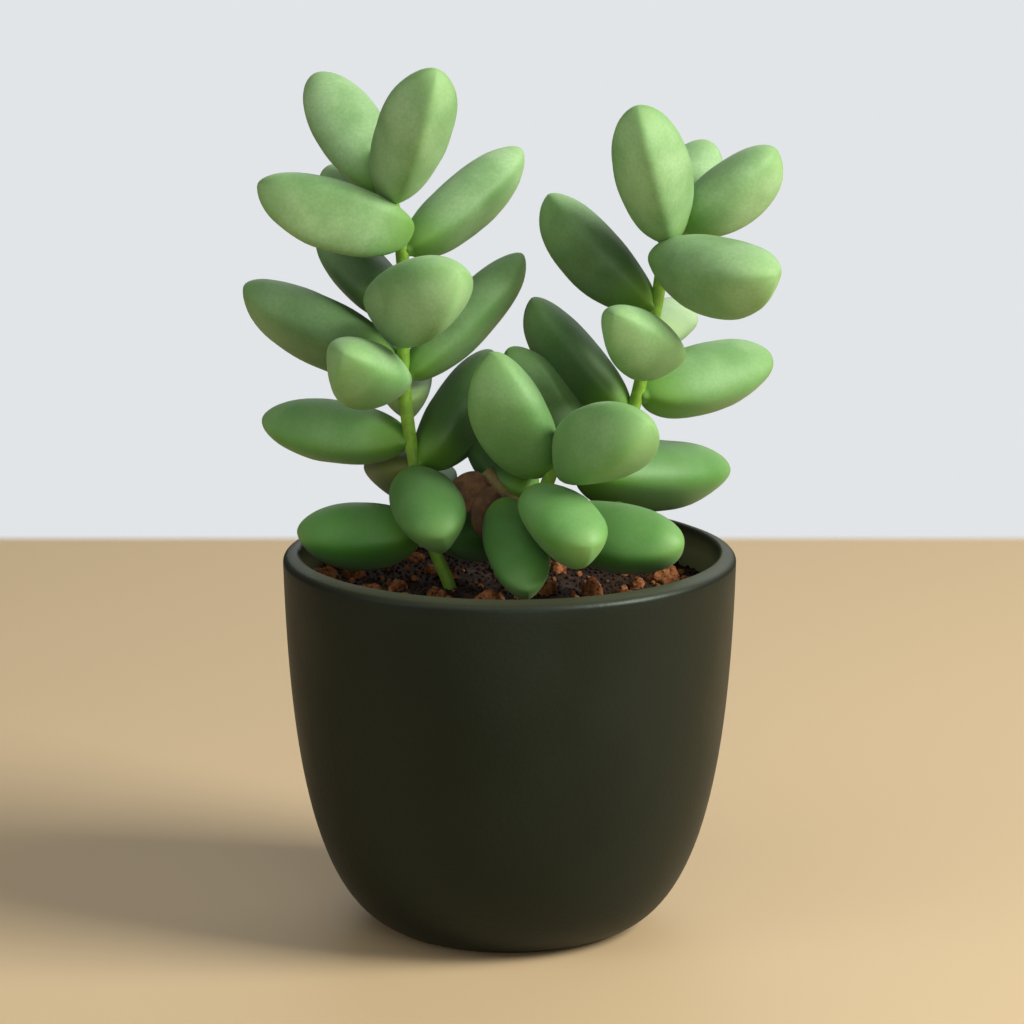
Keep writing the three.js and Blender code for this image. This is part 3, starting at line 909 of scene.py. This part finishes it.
# %% Earth and clay
def earth_material(name, dark, mid, light, scale, strength):
    """A crumbly matt skin: two colours in soft patches, and painted shade in the pits of its bump.
    """
    material, tree, shader = new_material(name, Roughness=0.95, IOR=1.4,
                                          Specular_IOR_Level=0.25)
    grain = place_group(tree, grain_group, Scale=scale, Coarse=0.65)
    pits = place_group(tree, grain_group, Scale=scale * 2.6, Coarse=0.7)
    tone = mix(tree, spread(tree, grain.outputs["Value"], 0.32, 0.66), mid, light)
    # Painted shade: the pits, the low parts of the bump, are mixed towards the darkest colour.
    tone = mix(tree, spread(tree, pits.outputs["Value"], 0.55, 0.36), tone, dark)
    tree.links.new(tone, shader.inputs["Base Color"])
    height = sums(tree, "ADD", grain.outputs["Value"], pits.outputs["Value"])
    bump(tree, shader, height, strength, 0.6 * MM)
    return material


earth = earth_material("dark earth", colour(14, 9, 5), colour(34, 22, 13),
                       colour(58, 38, 24), 260.0, 0.7)
clay = earth_material("clay lumps", colour(60, 32, 16), colour(124, 74, 42),
                      colour(158, 104, 64), 330.0, 0.9)

# %% The scatter tree
grit_tree, grit_in, grit_end = new_tree("scatter grit", [
    ("Density", "NodeSocketFloat", 1000.0), ("Spacing", "NodeSocketFloat", 0.001),
    ("Smallest", "NodeSocketFloat", 0.001), ("Largest", "NodeSocketFloat", 0.002),
    ("Facets", "NodeSocketInt", 2), ("Lumpiness", "NodeSocketFloat", 0.4),
    ("Sink", "NodeSocketFloat", 0.0), ("Seed", "NodeSocketInt", 1),
    ("Finish", "NodeSocketMaterial", None)])
spots = node(grit_tree, "GeometryNodeDistributePointsOnFaces", distribute_method="POISSON",
             inputs={"Mesh": grit_in["Geometry"], "Distance Min": grit_in["Spacing"],
                     "Density Max": grit_in["Density"], "Seed": grit_in["Seed"]})
ball = node(grit_tree, "GeometryNodeMeshIcoSphere", inputs={
    "Radius": 1.0, "Subdivisions": grit_in["Facets"]})
size_of = node(grit_tree, "FunctionNodeRandomValue", data_type="FLOAT", inputs={
    2: grit_in["Smallest"], 3: grit_in["Largest"], "Seed": grit_in["Seed"]})
turn_of = node(grit_tree, "FunctionNodeRandomValue", data_type="FLOAT_VECTOR", inputs={
    0: (0, 0, 0), 1: (6.28, 6.28, 6.28), "Seed": grit_in["Seed"]})
squash_of = node(grit_tree, "FunctionNodeRandomValue", data_type="FLOAT_VECTOR", inputs={
    0: (0.8, 0.7, 0.55), 1: (1.15, 1.0, 0.85), "Seed": grit_in["Seed"]})
scale_of = node(grit_tree, "ShaderNodeVectorMath", operation="SCALE", inputs={
    0: squash_of.outputs[0], "Scale": size_of.outputs[1]})
laid = node(grit_tree, "GeometryNodeInstanceOnPoints", inputs={
    "Points": spots.outputs["Points"], "Instance": ball.outputs["Mesh"],
    "Rotation": turn_of.outputs[0], "Scale": scale_of.outputs["Vector"]})
real = node(grit_tree, "GeometryNodeRealizeInstances", inputs={
    "Geometry": laid.outputs["Instances"]})
span = node(grit_tree, "ShaderNodeMath", operation="DIVIDE", inputs={
    0: 0.9, 1: grit_in["Largest"]})
lumps = node(grit_tree, "ShaderNodeTexNoise", inputs={
    "Scale": span.outputs[0], "Detail": 3.0, "Roughness": 0.6})
from_middle = node(grit_tree, "ShaderNodeMath", operation="SUBTRACT", inputs={
    0: lumps.outputs["Fac"], 1: 0.5})
by_size = node(grit_tree, "ShaderNodeMath", operation="MULTIPLY", inputs={
    0: from_middle.outputs[0], 1: grit_in["Largest"]})
by_lump = node(grit_tree, "ShaderNodeMath", operation="MULTIPLY", inputs={
    0: by_size.outputs[0], 1: grit_in["Lumpiness"]})
normal = node(grit_tree, "GeometryNodeInputNormal")
push = node(grit_tree, "ShaderNodeVectorMath", operation="SCALE", inputs={
    0: normal.outputs["Normal"], "Scale": by_lump.outputs[0]})
lift = node(grit_tree, "ShaderNodeCombineXYZ", inputs={"Z": grit_in["Sink"]})
offset = node(grit_tree, "ShaderNodeVectorMath", operation="ADD", inputs={
    0: push.outputs["Vector"], 1: lift.outputs["Vector"]})
moved = node(grit_tree, "GeometryNodeSetPosition", inputs={
    "Geometry": real.outputs["Geometry"], "Offset": offset.outputs["Vector"]})
dressed = node(grit_tree, "GeometryNodeSetMaterial", inputs={
    "Geometry": moved.outputs["Geometry"], "Material": grit_in["Finish"]})
grit_tree.links.new(dressed.outputs["Geometry"], grit_end.inputs["Geometry"])

# %% Scatter the grit
finish_piece(bed_mesh, earth, "soil", "soil")
for name, material, values in (
        ("soil_lumps", clay, dict(
            Density=12000.0, Spacing=8.5 * MM, Smallest=2.0 * MM, Largest=4.0 * MM,
            Facets=4, Lumpiness=1.1, Sink=0.2 * MM, Seed=4)),
        ("soil_crumbs", clay, dict(
            Density=60000.0, Spacing=4.4 * MM, Smallest=0.4 * MM, Largest=1.2 * MM,
            Facets=2, Lumpiness=1.2, Sink=0.2 * MM, Seed=7)),
        ("soil_grains", earth, dict(
            Density=500000.0, Spacing=1.1 * MM, Smallest=0.25 * MM, Largest=0.6 * MM,
            Facets=2, Lumpiness=1.0, Sink=0.1 * MM, Seed=9))):
    mesh = grow(name, grit_tree, top_mesh, Finish=material, **values)
    shade_smooth(mesh)
    finish_piece(mesh, material, "soil")
    print(name, len(mesh.polygons), "faces")

# %% [markdown]
# ## The table top, the light and the camera
# The table is a plain pale board that ends behind the pot. One strong soft light stands high at the
# front right, as a window would. Four weak ones, above, in front, at the left and behind, stand for
# the light that a pale room gives back, and the dim grey world fills what they leave.

# %% The table top
table_reach, back_edge, edge_blur = 2, 0.385, 0.012
floor_mesh = bpy.data.meshes.new("table_top")
floor_mesh.from_pydata([(-table_reach, -table_reach, 0), (table_reach, -table_reach, 0),
                        (table_reach, back_edge, 0), (-table_reach, back_edge, 0)],
                       [], [(0, 1, 2, 3)])
floor = bpy.data.objects.new("table_top", floor_mesh)
bpy.context.collection.objects.link(floor)
board, tree, shader = new_material("pale board", Roughness=0.6, Specular_IOR_Level=0.3,
                                   Base_Color=colour(192, 168, 130))
depth = node(tree, "ShaderNodeSeparateXYZ", inputs={"Vector": own_place(tree)}).outputs["Y"]
tree.links.new(spread(tree, depth, back_edge, back_edge - edge_blur), shader.inputs["Alpha"])
floor_mesh.materials.append(board)
floor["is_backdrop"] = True

# %% The room and the lights
world = bpy.data.worlds.new("room")
bpy.context.scene.world = world
world.use_nodes = True
tree = world.node_tree
background = tree.nodes["Background"]
seen = node(tree, "ShaderNodeLightPath").outputs["Is Camera Ray"]
room = mix(tree, seen, (0.062, 0.066, 0.07, 1), colour(226, 229, 232))
tree.links.new(room, background.inputs["Color"])
background.inputs["Strength"].default_value = 1.0
plant_middle = Vector((0, 0, 0.12))


def soft_light(name, place, width, height, power, tint):
    """A rectangle of light that looks at the plant."""
    light = bpy.data.lights.new(name, "AREA")
    light.shape = "RECTANGLE"
    light.size, light.size_y, light.energy, light.color = width, height, power, tint
    lamp = bpy.data.objects.new(name, light)
    bpy.context.collection.objects.link(lamp)
    lamp.location = place
    lamp.rotation_euler = (plant_middle - Vector(place)).to_track_quat("-Z", "Y").to_euler()


soft_light("window", (1.0, -0.36, 0.78), 0.6, 0.6, 27.5, (1.0, 0.98, 0.94))
soft_light("ceiling", (-0.25, -0.5, 1.05), 0.9, 0.9, 2.6, (0.98, 0.99, 1.0))
soft_light("room_front", (0.15, -1.1, 0.3), 0.7, 0.5, 2.8, (1.0, 0.99, 0.96))
soft_light("room_left", (-0.95, -0.55, 0.5), 0.6, 0.6, 2.3, (0.99, 1.0, 1.0))
soft_light("room_back", (0.2, 0.9, 0.7), 1.2, 0.8, 4, (0.96, 0.98, 1.0))

# %% The camera
lens = bpy.data.cameras.new("camera")
lens.sensor_width, lens.lens = 36, 159.5
camera = bpy.data.objects.new("camera", lens)
bpy.context.collection.objects.link(camera)
aim = Vector((0.00053, 0, 0.09336))
elevation = math.radians(12.65)
camera.location = aim + Vector((0, -math.cos(elevation), math.sin(elevation)))
camera.rotation_euler = (aim - camera.location).to_track_quat("-Z", "Y").to_euler()
bpy.context.scene.camera = camera
bpy.context.scene.view_settings.view_transform = "Standard"

# %% Measure and finish
low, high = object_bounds()
print("visual model:", [round(v / MM, 1) for v in (*low, *high)], "mm")
